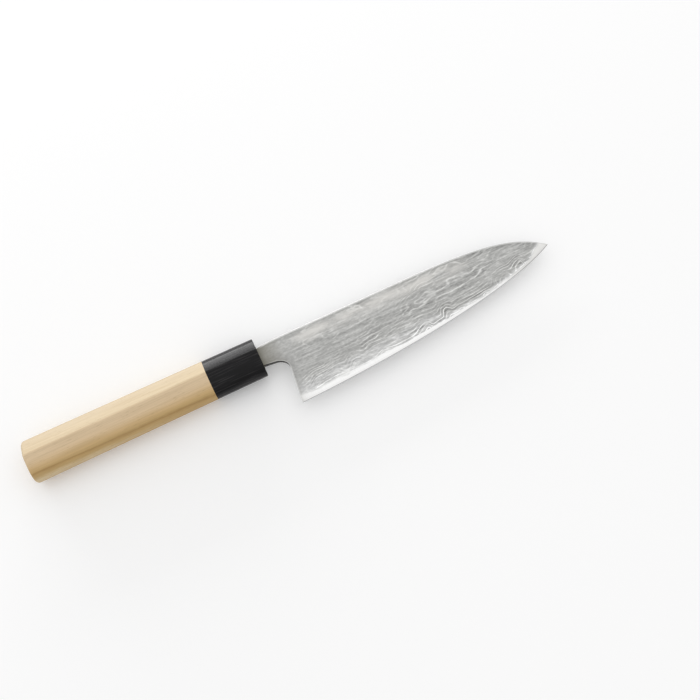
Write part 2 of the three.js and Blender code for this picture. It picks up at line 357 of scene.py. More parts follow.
handle = d_section("wooden_handle", JOINT_X, JOINT_HALF)
extrude_along(JOINT_X, BUTT_X + BUTT_ROUND, JOINT_HALF, BUTT_HALF, LENGTH_STEPS)
rounded_end(BUTT_X, BUTT_HALF, BUTT_ROUND, BUTT_SEGMENTS, facing=-1)
close_up(handle)
combine(handle, rod("tenon", TENON_RADIUS, JOINT_X - TENON_LENGTH, TENON_END_X), "UNION")
combine(handle, tang_bar(TANG_END_X - GLUE_GAP, TENON_END_X + OVERSHOOT), "DIFFERENCE")
take(handle)
bpy.ops.object.shade_smooth_by_angle(angle=SMOOTH_UNDER)
report(handle)

# %% [markdown]
# ## The horn ferrule
# The ferrule keeps the wood from splitting where the blade goes in. It carries the same section on to
# the front, with a crisp edge there, so it is made with the same steps as the handle. Inside it has
# the socket for the tenon, the hole for the tang and a wider mouth for the resin.

# %% Model the ferrule
FERRULE_STEPS = 3
FRONT_ROUND = 0.6 * MM
FRONT_SEGMENTS = 4

ferrule = d_section("horn_ferrule", JOINT_X, JOINT_HALF)
extrude_along(JOINT_X, FRONT_X - FRONT_ROUND, JOINT_HALF, FRONT_HALF, FERRULE_STEPS)
rounded_end(FRONT_X, FRONT_HALF, FRONT_ROUND, FRONT_SEGMENTS, facing=1)
close_up(ferrule)
socket = rod("socket", TENON_RADIUS + GLUE_GAP, JOINT_X - OVERSHOOT, TENON_END_X + GLUE_GAP)
combine(ferrule, socket, "DIFFERENCE")
combine(ferrule, tang_bar(TENON_END_X - OVERSHOOT, TANG_ROOT_X + OVERSHOOT), "DIFFERENCE")
mouth = bar("mouth", seal_low, seal_high + Vector((OVERSHOOT, 0, 0)))
combine(ferrule, mouth, "DIFFERENCE")
take(ferrule)
bpy.ops.object.shade_smooth_by_angle(angle=SMOOTH_UNDER)
report(ferrule)

# %% [markdown]
# ## The resin at the mouth
# A bead of resin fills the slot round the neck and keeps water out. It is a rectangle the size of the
# mouth, inset by the width of the bead, with the middle taken out, and then extruded to the front. Its
# outer rim is bevelled, because resin draws down where it meets the horn.

# %% Model the resin bead
BEAD_WALL = 0.7 * MM
BEAD_EASING = 0.18 * MM
BEAD_SEGMENTS = 3

bead_middle = (seal_low + seal_high) / 2
bead_half = (seal_high - seal_low) / 2
bpy.ops.mesh.primitive_plane_add(
    size=1, location=(seal_low.x, bead_middle.y, bead_middle.z), rotation=(0, math.pi / 2, 0)
)
bead = settle("resin_bead", (bead_half.z * 2, bead_half.y * 2, 1))
edit(bead)
bpy.ops.mesh.select_all(action="SELECT")
bpy.ops.mesh.inset(thickness=BEAD_WALL)
bpy.ops.mesh.delete(type="FACE")
bpy.ops.mesh.select_all(action="SELECT")
bpy.ops.mesh.extrude_region_move(TRANSFORM_OT_translate={"value": (seal_high.x - seal_low.x, 0, 0)})
close_up(bead)


def on_outer_rim(vertex):
    """Whether a vertex is on the front's outer rim."""
    at_front = vertex.co.x > seal_high.x - SAME_PLACE
    far_up = abs(vertex.co.y - bead_middle.y) > bead_half.y - BEAD_WALL / 2
    far_out = abs(vertex.co.z - bead_middle.z) > bead_half.z - BEAD_WALL / 2
    return at_front and (far_up or far_out)


edit(bead)
pick("EDGE", lambda edge: all(on_outer_rim(vertex) for vertex in edge.verts))
bpy.ops.mesh.bevel(offset=BEAD_EASING, segments=BEAD_SEGMENTS, affect="EDGES")
take(bead)
report(bead)

# %% [markdown]
# ## The three layers of the blade
# The blade's outline, its convex grind and the wavy line where the core comes out of the cladding are
# already in the solids, so each layer starts as a copy of its solid. The copy is merged, its triangles
# are joined back into quads and cut finer, and it is shaded smooth.

# %% Copy and refine the layers
SIDES = ("right", "left")
CUTS = 3
BLADE_SMOOTH_UNDER = math.radians(35)


def refined_copy(node, name):
    """A merged, finer copy of a solid, shaded smooth. The solid itself stays as it is."""
    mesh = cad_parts[node].data.copy()
    mesh.name = name
    piece = bpy.data.objects.new(name, mesh)
    bpy.context.scene.collection.objects.link(piece)
    edit(piece)
    bpy.ops.mesh.customdata_custom_splitnormals_clear()
    bpy.ops.mesh.select_all(action="SELECT")
    bpy.ops.mesh.remove_doubles(threshold=SAME_PLACE)
    bpy.ops.mesh.tris_convert_to_quads()
    bpy.ops.mesh.subdivide(number_cuts=CUTS)
    take(piece)
    bpy.ops.object.shade_smooth_by_angle(angle=BLADE_SMOOTH_UNDER)
    return piece


core = refined_copy("core_steel", "blade_core")
claddings = [refined_copy(f"cladding_{side}", f"blade_cladding_{side}") for side in SIDES]
for piece in (core, *claddings):
    report(piece)

# %% [markdown]
# ### What the finishes need to know
# The finishes of the blade follow its edges, so three distances are measured on each layer and kept as
# attributes, in millimetres: from the cutting edge, from the weld line, and from the rim, which is the
# corner along the spine, the heel and the neck. A material can read an attribute at every point, while
# plain coordinates know nothing of a curved edge. The edges are found by how far their two faces turn.

# %% Measure from the edges
KNIFE_EDGE = (math.radians(120), math.pi)
RIM = (math.radians(35), math.radians(100))
POINTS_PER_EDGE = 6


def along_edges(piece, turn):
    """Points in front of the ferrule along the edges where two faces turn by an angle in that range."""
    shape = bmesh.new()
    shape.from_mesh(piece.data)
    points = [
        edge.verts[0].co.lerp(edge.verts[1].co, step / POINTS_PER_EDGE)
        for edge in shape.edges
        if turn[0] < edge.calc_face_angle() <= turn[1] and edge.verts[0].co.x > FRONT_X
        for step in range(POINTS_PER_EDGE + 1)
    ]
    shape.free()
    return points


def measure_from(piece, points, attribute):
    """Keeps each vertex's distance to the nearest of some points, in millimetres."""
    tree = KDTree(len(points))
    for index, point in enumerate(points):
        tree.insert(point, index)
    tree.balance()
    distances = [tree.find(vertex.co)[2] / MM for vertex in piece.data.vertices]
    piece.data.attributes.new(attribute, "FLOAT", "POINT").data.foreach_set("value", distances)


cutting_edge = along_edges(core, KNIFE_EDGE)
welds = [along_edges(cladding, KNIFE_EDGE) for cladding in claddings]
for piece, weld in ((core, welds[0] + welds[1]), *zip(claddings, welds)):
    measure_from(piece, cutting_edge, "from_edge")
    measure_from(piece, weld, "from_weld")
    measure_from(piece, along_edges(piece, RIM), "from_rim")
print("points on the edge:", len(cutting_edge), "and on the welds:", [len(weld) for weld in welds])

# %% [markdown]
# ## Building materials from nodes
# One function turns the sRGB hex of a colour into the linear numbers that shaders use. Another adds
# one node, sets it up and joins it. Pattern sizes are written in millimetres along, up and through the
# knife: a noise texture repeats about once per unit, so dividing by the size of a feature gives its
# scale. The stops of a colour ramp are written in millimetres too, where it runs over a distance.

# %% Helpers for colours and sizes
def srgb(code):
    """A hex colour as linear red, green, blue and full alpha."""
    shares = [int(code[i:i + 2], 16) / 255 for i in (1, 3, 5)]
    return [s / 12.92 if s <= 0.04045 else ((s + 0.055) / 1.055) ** 2.4 for s in shares] + [1]


def per_feature(x, y, z):
    """The scale that makes one feature that many millimetres long, wide and deep."""
    return (1 / (x * MM), 1 / (y * MM), 1 / (z * MM))


def ramp_stops(marks, start=0, end=1):
    """Stops of a ramp from start to end. Each mark is a place with a hex colour or a plain level."""
    return [
        ((mark - start) / (end - start), srgb(look) if isinstance(look, str) else (look, look, look, 1))
        for mark, look in marks
    ]


print("white is", srgb("#FFFFFF"))

# %% Helpers for nodes and pieces
FACTOR, FIRST, SECOND, MIXED = 0, 6, 7, 2


def add_node(tree, kind, joins=None, stops=None, **settings):
    """Adds a shader node. Settings are its own, joins are its inputs: values or other nodes' outputs."""
    made = tree.nodes.new("ShaderNode" + kind)
    for name, value in settings.items():
        setattr(made, name, value)
    for number, (place, colour) in enumerate(stops or []):
        ramp = made.color_ramp.elements
        stop = ramp.new(place) if number > 1 else ramp[number]
        stop.position, stop.color = place, colour
    for socket, value in (joins or {}).items():
        if isinstance(value, bpy.types.NodeSocket):
            tree.links.new(value, made.inputs[socket])
        else:
            made.inputs[socket].default_value = value
    return made.outputs


def new_material(name):
    """An empty material, with its Principled shader."""
    material = bpy.data.materials.new(name)
    material.use_nodes = True
    return material, material.node_tree, material.node_tree.nodes["Principled BSDF"]


def dress(piece, material, node):
    """Gives a piece its finish, puts it on the body and lets it stand for its solid."""
    piece.data.materials.clear()
    piece.data.materials.append(material)
    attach(piece, "root")
    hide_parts(node)


print("a Mix node blends inputs", FIRST, "and", SECOND, "into output", MIXED)

# %% [markdown]
# ## Pattern-welded cladding
# The cladding is soft steel folded with a little nickel into thin layers, ground convex and etched.
# The grind cuts the layers at a slant, so each one shows as a contour line, close together near the
# edge and wide apart towards the spine. They fan out and climb a little from the heel to the front. A
# wave texture would give even stripes, so the layers themselves are counted here, upwards from the
# edge as the grind cuts them, and the lines follow from the count.

# %% Count the layers
# Real layers are a third as thick. They are drawn coarser, to show in a view of the whole knife.
GRIND_HEIGHT = 46
GRIND_POWER = 2
LAYERS_AT_HEEL, LAYERS_AT_FRONT = 16, 12
HEEL, FAN_END, CLIMB_END = -8, 90, 50
CLIMB = 2.5

cladding_steel, tree, cladding_shader = new_material("pattern_welded_steel")
place = add_node(tree, "TexCoord")["Object"]
axes = add_node(tree, "SeparateXYZ", {"Vector": place})
from_edge, from_weld, from_rim = [
    add_node(tree, "Attribute", attribute_name=name)["Fac"]
    for name in ("from_edge", "from_weld", "from_rim")
]
ground = add_node(tree, "MapRange", {
    "Value": from_edge, "From Max": GRIND_HEIGHT, "To Min": 1, "To Max": 0,
})["Result"]
ground = add_node(tree, "Math", {0: ground, 1: GRIND_POWER}, operation="POWER")["Value"]
ground = add_node(tree, "Math", {0: ground, 1: 1}, operation="SUBTRACT")["Value"]
layers = add_node(tree, "MapRange", {
    "Value": axes["X"],
    "From Min": HEEL * MM,
    "From Max": FAN_END * MM,
    "To Min": LAYERS_AT_HEEL,
    "To Max": LAYERS_AT_FRONT,
})["Result"]
climb = add_node(tree, "MapRange", {
    "Value": axes["X"], "From Min": HEEL * MM, "From Max": CLIMB_END * MM, "To Max": CLIMB,
}, interpolation_type="SMOOTHSTEP")["Result"]
layer = add_node(tree, "Math", {0: ground, 1: layers, 2: climb}, operation="MULTIPLY_ADD")["Value"]
print("layers cut by the grind:", LAYERS_AT_HEEL, "to", LAYERS_AT_FRONT, "over", GRIND_HEIGHT, "mm")

# %% [markdown]
# ### Hammer marks
# The hammer bent the layers, so the lines run in waves and close into islands. Each kind of bend is
# noise of one size that adds a few layers to the count, fewer next to the edge and more next to the
# spine. A few blows near the edge went deeper and made steep bumps, the peaks of one more noise.

# %% Bend the layers
NEAR_EDGE, NEAR_SPINE = 5, 34
BENDS = [
    ((45, 14, 14), 2.5, 7),
    ((16, 6, 6), 1.8, 2.5),
    ((8, 3.5, 3.5), 0.5, 2.2),
    ((4, 1.4, 1.4), 0.3, 0.5),
]
BLOW_SIZE = (11, 16, 16)
BLOW_DEPTH = 2.6

for size, least, most in BENDS:
    spot = add_node(tree, "VectorMath", {0: place, 1: per_feature(*size)}, operation="MULTIPLY")["Vector"]
    bend = add_node(tree, "TexNoise", {"Vector": spot, "Scale": 1, "Detail": 0.5})["Fac"]
    bend = add_node(tree, "Math", {0: bend, 1: 0.5}, operation="SUBTRACT")["Value"]
    reach = add_node(tree, "MapRange", {
        "Value": from_edge,
        "From Min": NEAR_EDGE,
        "From Max": NEAR_SPINE,
        "To Min": least,
        "To Max": most,
    })["Result"]
    layer = add_node(tree, "Math", {0: bend, 1: reach, 2: layer}, operation="MULTIPLY_ADD")["Value"]
spot = add_node(tree, "VectorMath", {0: place, 1: per_feature(*BLOW_SIZE)}, operation="MULTIPLY")["Vector"]
blow = add_node(tree, "TexNoise", {"Vector": spot, "Scale": 1, "Detail": 0})["Fac"]
blow = add_node(tree, "MapRange", {
    "Value": blow, "From Min": 0.5, "From Max": 0.76, "To Max": BLOW_DEPTH,
}, interpolation_type="SMOOTHSTEP")["Result"]
reach = add_node(tree, "MapRange", {
    "Value": from_edge, "From Min": NEAR_EDGE, "From Max": NEAR_SPINE / 2, "To Min": 1, "To Max": 0,
})["Result"]
layer = add_node(tree, "Math", {0: blow, 1: reach, 2: layer}, operation="MULTIPLY_ADD")["Value"]
print("bends:", len(BENDS), "sizes, and blows up to", BLOW_DEPTH, "layers deep")

# %% [markdown]
# ### The etch
# Acid darkens the plain steel and leaves the nickel, so each layer shows as a bright line on grey,
# with a faint dark one beside it. A ramp over the fraction of the layer count draws that. Each fold
# took the acid differently, so the whole number of the count picks how strong its line is. The lines
# also fade in and out along their length. They are clearest along the edge and in the front half, and
# the neck has none.

# %% Etch the layers
LINE = [(0, 0.36), (0.14, 0.42), (0.27, 1), (0.37, 1), (0.5, 0.42), (0.7, 0.28), (0.86, 0.34)]
LINE_MEAN = 0.51
FOLD_LEAST, FOLD_MOST = 0.3, 1.8
FADE_SIZE = (24, 6, 6)
FADE_LEAST, FADE_MOST = 0.15, 1.3

phase = add_node(tree, "Math", {0: layer}, operation="FRACT")["Value"]
etch = add_node(tree, "ValToRGB", {"Fac": phase}, stops=ramp_stops(LINE))["Color"]
etch = add_node(tree, "Math", {0: etch, 1: LINE_MEAN}, operation="SUBTRACT")["Value"]
number = add_node(tree, "Math", {0: layer}, operation="FLOOR")["Value"]
fold = add_node(tree, "TexWhiteNoise", {"W": number}, noise_dimensions="1D")["Value"]
fold = add_node(tree, "MapRange", {"Value": fold, "To Min": FOLD_LEAST, "To Max": FOLD_MOST})["Result"]
spot = add_node(tree, "VectorMath", {0: place, 1: per_feature(*FADE_SIZE)}, operation="MULTIPLY")["Vector"]
fade = add_node(tree, "TexNoise", {"Vector": spot, "Scale": 1, "Detail": 1})["Fac"]
fade = add_node(tree, "MapRange", {
    "Value": fade, "From Min": 0.36, "From Max": 0.62, "To Min": FADE_LEAST, "To Max": FADE_MOST,
})["Result"]
print("a line stands out by", FOLD_LEAST, "to", FOLD_MOST)

# %% Clear along the edge, plain at the neck
CLEAR_START, CLEAR_END = -10, 160
CLEAR_ALONG = [(-10, 0.3), (24, 0.5), (66.5, 1), (117.5, 1), (151.5, 0.5)]
CLEAR_UP = [(9, 1), (14, 0.8), (18, 0.45), (22, 0.34), (32, 0.6)]
NECK_START, NECK_END = -11, 9

along = add_node(tree, "MapRange", {
    "Value": axes["X"], "From Min": CLEAR_START * MM, "From Max": CLEAR_END * MM,
})["Result"]
clear_along = add_node(
    tree, "ValToRGB", {"Fac": along}, stops=ramp_stops(CLEAR_ALONG, CLEAR_START, CLEAR_END)
)["Color"]
up = add_node(tree, "Math", {0: from_edge, 1: GRIND_HEIGHT}, operation="DIVIDE")["Value"]
clear_up = add_node(tree, "ValToRGB", {"Fac": up}, stops=ramp_stops(CLEAR_UP, 0, GRIND_HEIGHT))["Color"]
past_neck = add_node(tree, "MapRange", {
    "Value": axes["X"], "From Min": NECK_START * MM, "From Max": NECK_END * MM,
}, interpolation_type="SMOOTHSTEP")["Result"]
for strength in (fold, fade, clear_along, clear_up, past_neck):
    etch = add_node(tree, "Math", {0: etch, 1: strength}, operation="MULTIPLY")["Value"]
print("lines are clearest from", CLEAR_ALONG[2][0], "to", CLEAR_ALONG[3][0], "mm")

# %% [markdown]
# ### Marks over the lines
# Three kinds of marks lie over the pattern: light streaks from the stone along the blade, the fine
# grain that the acid bit, and here and there a spot that is rubbed bright. Each is one noise,
# stretched as the mark is, that is added to the etch. The grain is drawn coarser than it is, to show.

# %% Streaks, grain and rub marks
# Each row has a size, an offset, the part of the noise that shows, what it adds, its slope and a limit.
MARKS = [
    ((15, 1.2, 1.2), (0, 0, 0), (0.4, 0.7), (-0.06, 0.22), "LINEAR", past_neck),
    ((1.8, 0.9, 0.9), (0, 0, 0), (0.3, 0.7), (-0.1, 0.1), "LINEAR", 1),
    ((6, 4, 4), (2.4, 0.6, 0), (0.55, 0.75), (0, 0.14), "SMOOTHSTEP", 1),
]

for size, offset, (start, end), (least, most), slope, limit in MARKS:
    spot = add_node(tree, "VectorMath", {
        0: place, 1: per_feature(*size), 2: offset,
    }, operation="MULTIPLY_ADD")["Vector"]
    mark = add_node(tree, "TexNoise", {"Vector": spot, "Scale": 1, "Detail": 2})["Fac"]
    mark = add_node(tree, "MapRange", {
        "Value": mark, "From Min": start, "From Max": end, "To Min": least, "To Max": most,
    }, interpolation_type=slope)["Result"]
    etch = add_node(tree, "Math", {0: mark, 1: limit, 2: etch}, operation="MULTIPLY_ADD")["Value"]
print("kinds of marks:", len(MARKS))

# %% [markdown]
# ### Tone of the face
# The face is palest next to the weld and darkens upwards, faster in the front half, so a ramp over the
# distance from the weld gives its tone. The darkening upwards is partly painted reflection: it stands
# for the convex grind mirroring a different part of the room at each height. Noise makes the border
# ragged, and the etch then brightens and darkens the tone. Satin steel keeps some gloss, so the tones
# stay close together.

# %% Colour the face
ETCH_DEPTH = 1.45
# Partly painted reflection: the tones darken upwards as the grind's reflection would.
TONES_AND_PAINTED_REFLECTION = [
    (0, "#E2E2E1"),
    (0.5, "#D6D6D5"),
    (1.5, "#CBCBCA"),
    (3, "#C5C5C4"),
    (5, "#BFBFBE"),
    (8, "#B8B8B6"),
    (12, "#AEAEAC"),
    (20, "#ACACAA"),
    (34, "#B3B3B1"),
    (85, "#B3B3B1"),
    (125, "#ACACAA"),
]
TONE_REACH = 130
FASTER_FROM, FASTER_TO = 85, 115
FASTEST = 7
RIPPLE_SIZE = (5, 1.6, 1.6)
RIPPLE_REACH = 2.5
RIPPLE_MIDDLE = 0.6

faster = add_node(tree, "MapRange", {
    "Value": axes["X"],
    "From Min": FASTER_FROM * MM,
    "From Max": FASTER_TO * MM,
    "To Min": 1,
    "To Max": FASTEST,
})["Result"]
spot = add_node(
    tree, "VectorMath", {0: place, 1: per_feature(*RIPPLE_SIZE)}, operation="MULTIPLY"
)["Vector"]
ripple = add_node(tree, "TexNoise", {"Vector": spot, "Scale": 1, "Detail": 3})["Fac"]
ripple = add_node(tree, "Math", {0: ripple, 1: RIPPLE_MIDDLE}, operation="SUBTRACT")["Value"]
height = add_node(
    tree, "Math", {0: ripple, 1: RIPPLE_REACH, 2: from_weld}, operation="MULTIPLY_ADD"
)["Value"]
height = add_node(tree, "Math", {0: height, 1: faster}, operation="MULTIPLY")["Value"]
height = add_node(tree, "Math", {0: height, 1: TONE_REACH}, operation="DIVIDE")["Value"]
tone = add_node(tree, "ValToRGB", {"Fac": height}, stops=ramp_stops(TONES_AND_PAINTED_REFLECTION, 0, TONE_REACH))["Color"]
lit = add_node(tree, "Math", {0: etch, 1: ETCH_DEPTH, 2: 1}, operation="MULTIPLY_ADD")["Value"]
tone = add_node(tree, "VectorMath", {0: tone, "Scale": lit}, operation="SCALE")["Vector"]
print("etch depth", ETCH_DEPTH)

# %% [markdown]
# ### Haze along the spine
# A pale haze lies in patches below the spine of the heel half, where the polish stopped. It is a cloud
# of noise, held in its place by four soft limits that are multiplied together. The last few
# millimetres up to the spine are painted a little darker, as shade.

# %% Haze
CLOUD_SIZE = (15, 6, 6)
CLOUD_START = (7.3, 4.6, 0)
HAZE = "#DCDAD6"
# Each row has what is read, where the limit starts and ends, what it gives there, and its slope.
HAZE_LIMITS = [
    (axes["Y"], (4 * MM, 14.5 * MM), (0, 1), "SMOOTHSTEP"),
    (axes["X"], (124 * MM, 104 * MM), (0, 1), "SMOOTHSTEP"),
    (axes["X"], (-4 * MM, 14 * MM), (0.25, 1), "SMOOTHSTEP"),
    (from_rim, (1.2, 4.5), (0.3, 1), "LINEAR"),
]
SPINE_SHADE_FROM, SPINE_SHADE_TO, SPINE_SHADE_DARKEST = 1, 5, 0.87

spot = add_node(tree, "VectorMath", {
    0: place, 1: per_feature(*CLOUD_SIZE), 2: CLOUD_START,
}, operation="MULTIPLY_ADD")["Vector"]
haze = add_node(tree, "TexNoise", {"Vector": spot, "Scale": 1, "Detail": 5, "Roughness": 0.62})["Fac"]
haze = add_node(tree, "MapRange", {
    "Value": haze, "From Min": 0.32, "From Max": 0.6, "To Max": 0.9,
})["Result"]
for value, (start, end), (least, most), slope in HAZE_LIMITS:
    limit = add_node(tree, "MapRange", {
        "Value": value, "From Min": start, "From Max": end, "To Min": least, "To Max": most,
    }, interpolation_type=slope)["Result"]
    haze = add_node(tree, "Math", {0: haze, 1: limit}, operation="MULTIPLY")["Value"]
tone = add_node(tree, "Mix", {FACTOR: haze, FIRST: tone, SECOND: srgb(HAZE)}, data_type="RGBA")[MIXED]
# Painted shade: the colour darkens over the last few millimetres below the spine.
dullness_and_painted_shade = add_node(tree, "MapRange", {
    "Value": from_rim, "From Min": SPINE_SHADE_FROM, "From Max": SPINE_SHADE_TO, "To Min": SPINE_SHADE_DARKEST,
})["Result"]
tone = add_node(tree, "VectorMath", {0: tone, "Scale": dullness_and_painted_shade}, operation="SCALE")["Vector"]
print("haze held by", len(HAZE_LIMITS), "limits")

# %% [markdown]
# ### Neck and rim
# The neck isn't polished: it is plain and goes olive next to the resin. The eased rim of the blade gets
# a painted highlight. The underside of the neck and the curve down to the heel get painted shade,
# nearly black, also on the corner just below it. The cladding and the core share this, so it is a
# function of the tone.

# %% Neck and rim
# The second colour is a painted highlight for the rim, and the third is painted shade, nearly black, for
# the underside of the neck and the corner below it.
OLIVE, PAINTED_RIM_HIGHLIGHT, SCALE = "#7F7C72", "#DADAD8", "#2A2825"


def finish_neck(tree, axes, tone):
    """Goes over a colour of the blade: olive by the resin, a painted highlight on the rim, and painted
    shade under the neck.
    """
    from_rim = add_node(tree, "Attribute", attribute_name="from_rim")["Fac"]
    normal = add_node(tree, "TexCoord")["Normal"]
    leaning = add_node(tree, "SeparateXYZ", {"Vector": normal})
    shares = []
    # Each row has what is read, where the share starts and ends, what it is there, and its slope.
    for value, (start, end), (first, last), slope in [
        (axes["X"], (-20.5 * MM, -5 * MM), (0.95, 0), "LINEAR"),
        (from_rim, (0.4, 1), (0.7, 0), "SMOOTHSTEP"),
        (axes["X"], (-19 * MM, -15 * MM), (0, 1), "LINEAR"),
        (leaning["Y"], (-0.1, -0.35), (0, 1), "LINEAR"),
        (from_rim, (0.3, 0.55), (1, 0), "LINEAR"),
        (axes["Y"], (8 * MM, 6 * MM), (0, 1), "LINEAR"),
        (axes["Y"], (-3 * MM, 1 * MM), (0, 1), "LINEAR"),
        (axes["X"], (0, -3 * MM), (0, 1), "LINEAR"),
    ]:
        share = add_node(tree, "MapRange", {
            "Value": value, "From Min": start, "From Max": end, "To Min": first, "To Max": last,
        }, interpolation_type=slope)["Result"]
        shares.append(share)
    olive, rim, off_resin, under, corner, below_spine, above_heel, behind_heel = shares
    rim = add_node(tree, "Math", {0: rim, 1: off_resin}, operation="MULTIPLY")["Value"]
    corner = add_node(tree, "Math", {0: corner, 1: below_spine}, operation="MULTIPLY")["Value"]
    under = add_node(tree, "Math", {0: under, 1: corner}, operation="MAXIMUM")["Value"]
    for limit in (above_heel, behind_heel):
        under = add_node(tree, "Math", {0: under, 1: limit}, operation="MULTIPLY")["Value"]
    # The bright rim is a painted highlight, and the dark underside and corner are painted shade.
    for share, colour in ((olive, OLIVE), (rim, PAINTED_RIM_HIGHLIGHT), (under, SCALE)):
        tone = add_node(tree, "Mix", {
            FACTOR: share, FIRST: tone, SECOND: srgb(colour),
        }, data_type="RGBA")[MIXED]
    return tone


print("neck goes from", OLIVE, "to plain steel")

# %% Dress the cladding
# Where the acid bit deeper the steel is rougher, and the layers stand out by a few hundredths of a mm.
ROUGH_LOW, ROUGH_HIGH = 0.44, 0.34
RELIEF = 0.03 * MM
RELIEF_STRENGTH = 0.15

tree.links.new(finish_neck(tree, axes, tone), cladding_shader.inputs["Base Color"])
cladding_shader.inputs["Metallic"].default_value = 1
gloss = add_node(tree, "MapRange", {
    "Value": etch, "From Min": -0.5, "From Max": 0.5, "To Min": ROUGH_LOW, "To Max": ROUGH_HIGH,
})["Result"]
tree.links.new(gloss, cladding_shader.inputs["Roughness"])
relief = add_node(tree, "Bump", {
    "Height": etch, "Strength": RELIEF_STRENGTH, "Distance": RELIEF,
})["Normal"]
tree.links.new(relief, cladding_shader.inputs["Normal"])
for cladding, side in zip(claddings, SIDES):
    dress(cladding, cladding_steel, f"cladding_{side}")
print("cladding dressed on", len(claddings), "sides")

# %% [markdown]
# ## Core steel
# The core is the hard steel of the cutting edge. It is polished brighter than the cladding and shows
# as a near-white band, cloudy along its upper border, where the layers next to the weld took the
# polish too. At the heel and the point it is duller. The distance from the weld, made ragged by the
# same ripple as on the cladding, draws the border, so it follows the weld wherever that goes.

# %% Core steel
CORE_BRIGHT, CORE_DULL, CORE_BORDER = "#FDFDFC", "#E2E1DE", "#D8D8D6"
RAGGED, SMOOTH = -2.4, -1

core_steel, tree, core_shader = new_material("polished_core_steel")
place = add_node(tree, "TexCoord")["Object"]
axes = add_node(tree, "SeparateXYZ", {"Vector": place})
from_edge, from_weld = [
    add_node(tree, "Attribute", attribute_name=name)["Fac"] for name in ("from_edge", "from_weld")
]
spot = add_node(
    tree, "VectorMath", {0: place, 1: per_feature(*RIPPLE_SIZE)}, operation="MULTIPLY"
)["Vector"]
cloud = add_node(tree, "TexNoise", {"Vector": spot, "Scale": 1, "Detail": 4})["Fac"]
# Each row has where a change along the blade starts and ends, and what it is there.
ragged_heel, ragged_front, dull_point, dull_heel = [
    add_node(tree, "MapRange", {
        "Value": axes["X"], "From Min": start * MM, "From Max": end * MM, "To Min": first, "To Max": last,
    })["Result"]
    for start, end, first, last in [
        (20, 60, RAGGED, SMOOTH),
        (85, 116, SMOOTH, RAGGED),
        (128, 148, 0, 0.8),
        (6, -9, 0, 0.5),
    ]
]
ragged = add_node(tree, "Math", {0: ragged_heel, 1: ragged_front}, operation="MINIMUM")["Value"]
dullness_and_painted_shade = add_node(tree, "Math", {0: dull_point, 1: dull_heel}, operation="MAXIMUM")["Value"]
border = add_node(tree, "Math", {0: cloud, 1: ragged, 2: from_weld}, operation="MULTIPLY_ADD")["Value"]
border = add_node(tree, "MapRange", {
    "Value": border, "From Min": -1.4, "From Max": 0,
}, interpolation_type="SMOOTHSTEP")["Result"]
bright = add_node(tree, "Mix", {
    FACTOR: dullness_and_painted_shade, FIRST: srgb(CORE_BRIGHT), SECOND: srgb(CORE_DULL),
}, data_type="RGBA")[MIXED]
tone = add_node(tree, "Mix", {
    FACTOR: border, FIRST: srgb(CORE_BORDER), SECOND: bright,
}, data_type="RGBA")[MIXED]
print("core goes from", CORE_BORDER, "to", CORE_BRIGHT)

# %% [markdown]
# ### Stone marks on the edge
# The stones leave hairlines across the edge. The last one also leaves a steep second bevel along the
# very edge, which looks darker, because it leans away from the light. Cutting it into the mesh would
# take faces far narrower than the rest, so its shade is painted instead: the distance from the edge
# darkens the colour.

# %% Hairlines and second bevel
# Both are narrower on a real edge. They are drawn 0.5 mm wide to show.
HAIRLINE_SIZE = (0.5, 6, 6)
HAIRLINE = "#C4C4C4"
BEVEL_WIDTH = 0.5
BEVEL_DARKEST = 0.2
CORE_ROUGHNESS = 0.3

spot = add_node(
    tree, "VectorMath", {0: place, 1: per_feature(*HAIRLINE_SIZE)}, operation="MULTIPLY"
)["Vector"]
hairline = add_node(tree, "TexNoise", {"Vector": spot, "Scale": 1, "Detail": 3})["Fac"]
hairline = add_node(tree, "MapRange", {
    "Value": hairline, "From Min": 0.45, "From Max": 0.75, "To Max": 0.12,
})["Result"]
tone = add_node(tree, "Mix", {
    FACTOR: hairline, FIRST: tone, SECOND: srgb(HAIRLINE),
}, data_type="RGBA")[MIXED]
# Painted shade: the colour darkens over the last half millimetre to the edge.
painted_bevel_shade = add_node(tree, "MapRange", {
    "Value": from_edge, "From Max": BEVEL_WIDTH, "To Min": BEVEL_DARKEST,
})["Result"]
tone = add_node(tree, "VectorMath", {0: tone, "Scale": painted_bevel_shade}, operation="SCALE")["Vector"]
tree.links.new(finish_neck(tree, axes, tone), core_shader.inputs["Base Color"])
core_shader.inputs["Metallic"].default_value = 1
core_shader.inputs["Roughness"].default_value = CORE_ROUGHNESS
dress(core, core_steel, "core_steel")
print("core dressed, with a second bevel", BEVEL_WIDTH, "mm wide")

# %% [markdown]
# ## Ho wood
# Ho is a Japanese magnolia: pale, even and fine-grained, with a dull sanded surface. Its heart shows
# as an olive-brown streak, which here runs along the low side of the handle. The growth layers are
# nearly planes that pass through the stick at a slight slant, so one coordinate across them gives the
# streak and the soft bands. Part of the bands is painted shade: a broad darker band round the streak
# on the low side, and a darker top edge on the spine side. Noise drawn out along the grain makes them
# wander.

# %% Growth layers
STREAK_SLANT = 0.006
STREAK_LEAN = 0.25
STREAK_AT = 10.9
GROWTH_FROM, GROWTH_TO = -14, 15
# Partly painted shade: the first two stops darken the top edge on the spine side, and the darker stops on
# either side of the streak shade the low side.
GROWTH_AND_PAINTED_SHADE = [
    (-13.2, "#B7A584"),
    (-9.6, "#CDBB9E"),
    (-2.6, "#D6C3A2"),
    (-1.2, "#D1BE9D"),
    (-0.2, "#E2CAA7"),
    (4, "#E2C8A3"),
    (6, "#DFC39A"),
    (8.8, "#D3B27E"),
    (STREAK_AT - 0.7, "#C8A76F"),
    (STREAK_AT, "#AE8B55"),
    (STREAK_AT + 0.7, "#C19F67"),
    (12.4, "#C8A973"),
    (13.4, "#DEC8A0"),
]
# The layers wander, in swings of so many mm along and across the grain that reach so many mm.
WANDER = [((60, 5, 5), 1.2), ((14, 1.8, 1.8), 0.9), ((4, 0.5, 0.5), 0.8)]

